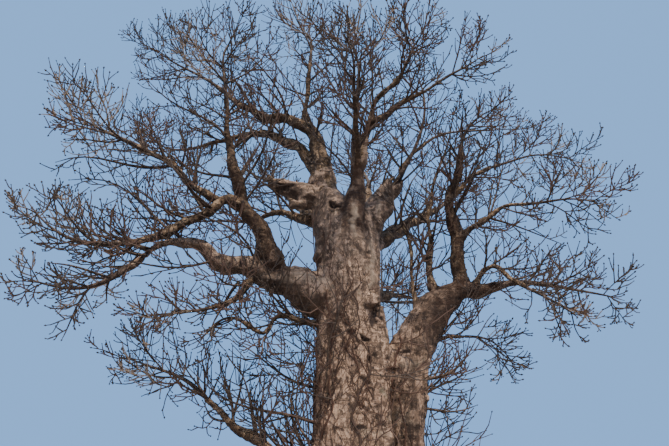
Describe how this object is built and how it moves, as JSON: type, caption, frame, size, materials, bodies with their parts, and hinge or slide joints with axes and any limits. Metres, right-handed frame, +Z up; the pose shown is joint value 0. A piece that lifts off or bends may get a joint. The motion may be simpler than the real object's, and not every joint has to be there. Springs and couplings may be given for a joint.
{
  "type": "leafless baobab tree",
  "caption": "Whole bare baobab: a swollen trunk grown together with a second stem, stout crooked boughs and a wide open crown of twigs, cut flat at ground level.",
  "frame": {"origin": "on the flat cut under the trunk, at ground level, midway between the two stems' outer flanks", "axes": "+Z up, +X to the right and +Y away from the viewer of the picture"},
  "size_m": [18.2869, 12.4474, 19.6643],
  "materials": {
    "bark": "rough mottled grey-brown bark with a pinkish cast, wrinkled and scarred",
    "twigs": "matt dark brown twig bark with darker buds at the tips"
  },
  "bodies": {
    "root": {"trunk": "bark", "second_stem": "bark", "left_arm": "bark", "left_riser": "bark", "left_shoulder": "bark", "left_high": "bark", "top_left": "bark", "outer_left": "bark", "top_centre": "bark", "centre": "bark", "centre_fork": "bark", "centre_right": "bark", "front_top": "bark", "right_leader": "bark", "leader_shoot": "bark", "right_arm": "bark", "right_riser": "bark", "right_outer": "bark", "right_middle": "bark", "right_low": "bark", "right_inner": "bark", "right_slim": "bark", "stem_shoot": "bark", "low_left": "bark", "left_hanging": "bark", "crooked": "bark", "broken_stub": "bark", "under_left": "bark", "back_left": "bark", "back_centre": "bark", "back_right": "bark", "back_low": "bark", "left_arm_twigs": "twigs", "left_riser_twigs": "twigs", "left_shoulder_twigs": "twigs", "left_high_twigs": "twigs", "top_left_twigs": "twigs", "outer_left_twigs": "twigs", "top_centre_twigs": "twigs", "centre_twigs": "twigs", "centre_fork_twigs": "twigs", "centre_right_twigs": "twigs", "front_top_twigs": "twigs", "right_leader_twigs": "twigs", "leader_shoot_twigs": "twigs", "right_arm_twigs": "twigs", "right_riser_twigs": "twigs", "right_outer_twigs": "twigs", "right_middle_twigs": "twigs", "right_low_twigs": "twigs", "right_inner_twigs": "twigs", "stem_shoot_twigs": "twigs", "low_left_twigs": "twigs", "left_hanging_twigs": "twigs", "crooked_twigs": "twigs", "under_left_twigs": "twigs", "back_left_twigs": "twigs", "back_centre_twigs": "twigs", "back_right_twigs": "twigs", "back_low_twigs": "twigs"}
  },
  "joints": []
}
